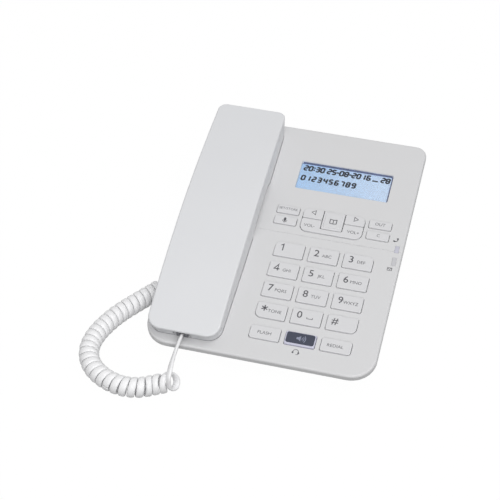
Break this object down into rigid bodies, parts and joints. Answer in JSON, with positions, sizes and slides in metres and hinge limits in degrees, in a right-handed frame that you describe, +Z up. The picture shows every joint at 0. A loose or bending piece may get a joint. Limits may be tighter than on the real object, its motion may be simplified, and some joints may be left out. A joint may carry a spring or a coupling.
{
  "type": "corded landline telephone",
  "caption": "Corded desk telephone with a sloping face, display, push-button keypad, lift-off handset in a side cradle and a curled handset cord.",
  "frame": {"origin": "centre of the telephone's outline at table height, measured without the handset cord", "axes": "+Z up, +Y to the rear, +X to the right as the user sees it; the front edge faces -Y"},
  "size_m": [0.1943, 0.2418, 0.0674],
  "materials": {
    "case": "fine satin, off-white",
    "case_under": "satin, light grey",
    "handset": "smooth satin, off-white",
    "key": "satin, off-white with dark printed legends",
    "speaker_key": "dark slate with a pale border",
    "lens": "clear window",
    "display": "pale blue display with dark digits",
    "light_guide": "white light guide",
    "light_pipe": "pale lavender grey",
    "board": "green circuit board",
    "mat": "grey silicone",
    "steel": "plain steel",
    "driver": "black",
    "socket": "dark grey",
    "plug": "clear to pale grey",
    "foot": "dark grey",
    "cord": "satin light grey"
  },
  "bodies": {
    "base": {"top_cover": "case", "bottom_cover": "case_under", "lcd_lens": "lens", "lcd_panel": "display", "lcd_backlight": "light_guide", "main_board": "board", "keypad_mat": "mat", "board_screws": "steel", "case_screws": "steel", "rubber_feet": "foot", "loudspeaker": "driver", "room_microphone": "driver", "base_weight": "steel", "line_jack": "socket", "headset_jack": "socket", "handset_jack": "socket", "base_plug": "plug", "hook_switch": "socket", "hook_spring": "steel", "in_use_light": "light_pipe", "message_light": "light_pipe", "curly_cord": "cord", "cord_lead": "cord", "cord_tail": "cord"},
    "handset": {"handset_top_shell": "handset", "handset_bottom_shell": "handset", "receiver_capsule": "driver", "handset_microphone": "driver", "microphone_boot": "foot", "handset_weight": "steel", "handset_screws": "steel", "handset_socket": "socket", "handset_plug": "plug"},
    "hook_plunger": {"hook_plunger": "key"},
    "volume_rocker": {"volume_rocker": "key"},
    "key_one": {"key_one": "key"},
    "key_two": {"key_two": "key"},
    "key_three": {"key_three": "key"},
    "key_four": {"key_four": "key"},
    "key_five": {"key_five": "key"},
    "key_six": {"key_six": "key"},
    "key_seven": {"key_seven": "key"},
    "key_eight": {"key_eight": "key"},
    "key_nine": {"key_nine": "key"},
    "key_zero": {"key_zero": "key"},
    "key_star": {"key_star": "key"},
    "key_hash": {"key_hash": "key"},
    "flash_key": {"flash_key": "key"},
    "speaker_key": {"speaker_key": "speaker_key"},
    "redial_key": {"redial_key": "key"},
    "set_key": {"set_key": "key"},
    "mute_key": {"mute_key": "key"},
    "out_key": {"out_key": "key"},
    "clear_key": {"clear_key": "key"},
    "book_key": {"book_key": "key"},
    "left_key": {"left_key": "key"},
    "right_key": {"right_key": "key"}
  },
  "joints": [
    {"name": "handset_lift", "type": "slide", "parent": "base", "child": "handset", "axis": [0, -0.1908, 0.9816], "range_m": [0, 0.08]},
    {"name": "hook_rise", "type": "slide", "parent": "base", "child": "hook_plunger", "axis": [0, -0.1908, 0.9816], "range_m": [0, 0.004], "deforming": ["hook_spring"]},
    {"name": "volume_rock", "type": "hinge", "parent": "base", "child": "volume_rocker", "pos_m": [0.02555, 0.01371, 0.0328], "axis": [0, 0.9816, 0.1908], "range_deg": [-2.5, 2.5], "stiffness_Nm_per_rad": 0.4},
    {"name": "key_one_press", "type": "slide", "parent": "base", "child": "key_one", "axis": [0, 0.1908, -0.9816], "range_m": [0, 0.0012], "stiffness_N_per_m": 1200},
    {"name": "key_two_press", "type": "slide", "parent": "base", "child": "key_two", "axis": [0, 0.1908, -0.9816], "range_m": [0, 0.0012], "stiffness_N_per_m": 1200},
    {"name": "key_three_press", "type": "slide", "parent": "base", "child": "key_three", "axis": [0, 0.1908, -0.9816], "range_m": [0, 0.0012], "stiffness_N_per_m": 1200},
    {"name": "key_four_press", "type": "slide", "parent": "base", "child": "key_four", "axis": [0, 0.1908, -0.9816], "range_m": [0, 0.0012], "stiffness_N_per_m": 1200},
    {"name": "key_five_press", "type": "slide", "parent": "base", "child": "key_five", "axis": [0, 0.1908, -0.9816], "range_m": [0, 0.0012], "stiffness_N_per_m": 1200},
    {"name": "key_six_press", "type": "slide", "parent": "base", "child": "key_six", "axis": [0, 0.1908, -0.9816], "range_m": [0, 0.0012], "stiffness_N_per_m": 1200},
    {"name": "key_seven_press", "type": "slide", "parent": "base", "child": "key_seven", "axis": [0, 0.1908, -0.9816], "range_m": [0, 0.0012], "stiffness_N_per_m": 1200},
    {"name": "key_eight_press", "type": "slide", "parent": "base", "child": "key_eight", "axis": [0, 0.1908, -0.9816], "range_m": [0, 0.0012], "stiffness_N_per_m": 1200},
    {"name": "key_nine_press", "type": "slide", "parent": "base", "child": "key_nine", "axis": [0, 0.1908, -0.9816], "range_m": [0, 0.0012], "stiffness_N_per_m": 1200},
    {"name": "key_zero_press", "type": "slide", "parent": "base", "child": "key_zero", "axis": [0, 0.1908, -0.9816], "range_m": [0, 0.0012], "stiffness_N_per_m": 1200},
    {"name": "key_star_press", "type": "slide", "parent": "base", "child": "key_star", "axis": [0, 0.1908, -0.9816], "range_m": [0, 0.0012], "stiffness_N_per_m": 1200},
    {"name": "key_hash_press", "type": "slide", "parent": "base", "child": "key_hash", "axis": [0, 0.1908, -0.9816], "range_m": [0, 0.0012], "stiffness_N_per_m": 1200},
    {"name": "flash_key_press", "type": "slide", "parent": "base", "child": "flash_key", "axis": [0, 0.1908, -0.9816], "range_m": [0, 0.0012], "stiffness_N_per_m": 1200},
    {"name": "speaker_key_press", "type": "slide", "parent": "base", "child": "speaker_key", "axis": [0, 0.1908, -0.9816], "range_m": [0, 0.0012], "stiffness_N_per_m": 1200},
    {"name": "redial_key_press", "type": "slide", "parent": "base", "child": "redial_key", "axis": [0, 0.1908, -0.9816], "range_m": [0, 0.0012], "stiffness_N_per_m": 1200},
    {"name": "set_key_press", "type": "slide", "parent": "base", "child": "set_key", "axis": [0, 0.1908, -0.9816], "range_m": [0, 0.0012], "stiffness_N_per_m": 1200},
    {"name": "mute_key_press", "type": "slide", "parent": "base", "child": "mute_key", "axis": [0, 0.1908, -0.9816], "range_m": [0, 0.0012], "stiffness_N_per_m": 1200},
    {"name": "out_key_press", "type": "slide", "parent": "base", "child": "out_key", "axis": [0, 0.1908, -0.9816], "range_m": [0, 0.0012], "stiffness_N_per_m": 1200},
    {"name": "clear_key_press", "type": "slide", "parent": "base", "child": "clear_key", "axis": [0, 0.1908, -0.9816], "range_m": [0, 0.0012], "stiffness_N_per_m": 1200},
    {"name": "book_key_press", "type": "slide", "parent": "base", "child": "book_key", "axis": [0, 0.1908, -0.9816], "range_m": [0, 0.0012], "stiffness_N_per_m": 1200},
    {"name": "left_key_press", "type": "slide", "parent": "base", "child": "left_key", "axis": [0, 0.1908, -0.9816], "range_m": [0, 0.0012], "stiffness_N_per_m": 1200},
    {"name": "right_key_press", "type": "slide", "parent": "base", "child": "right_key", "axis": [0, 0.1908, -0.9816], "range_m": [0, 0.0012], "stiffness_N_per_m": 1200}
  ],
  "couplings": [
    {"joint": "hook_rise", "follows": "handset_lift", "ratio": 0.05}
  ]
}
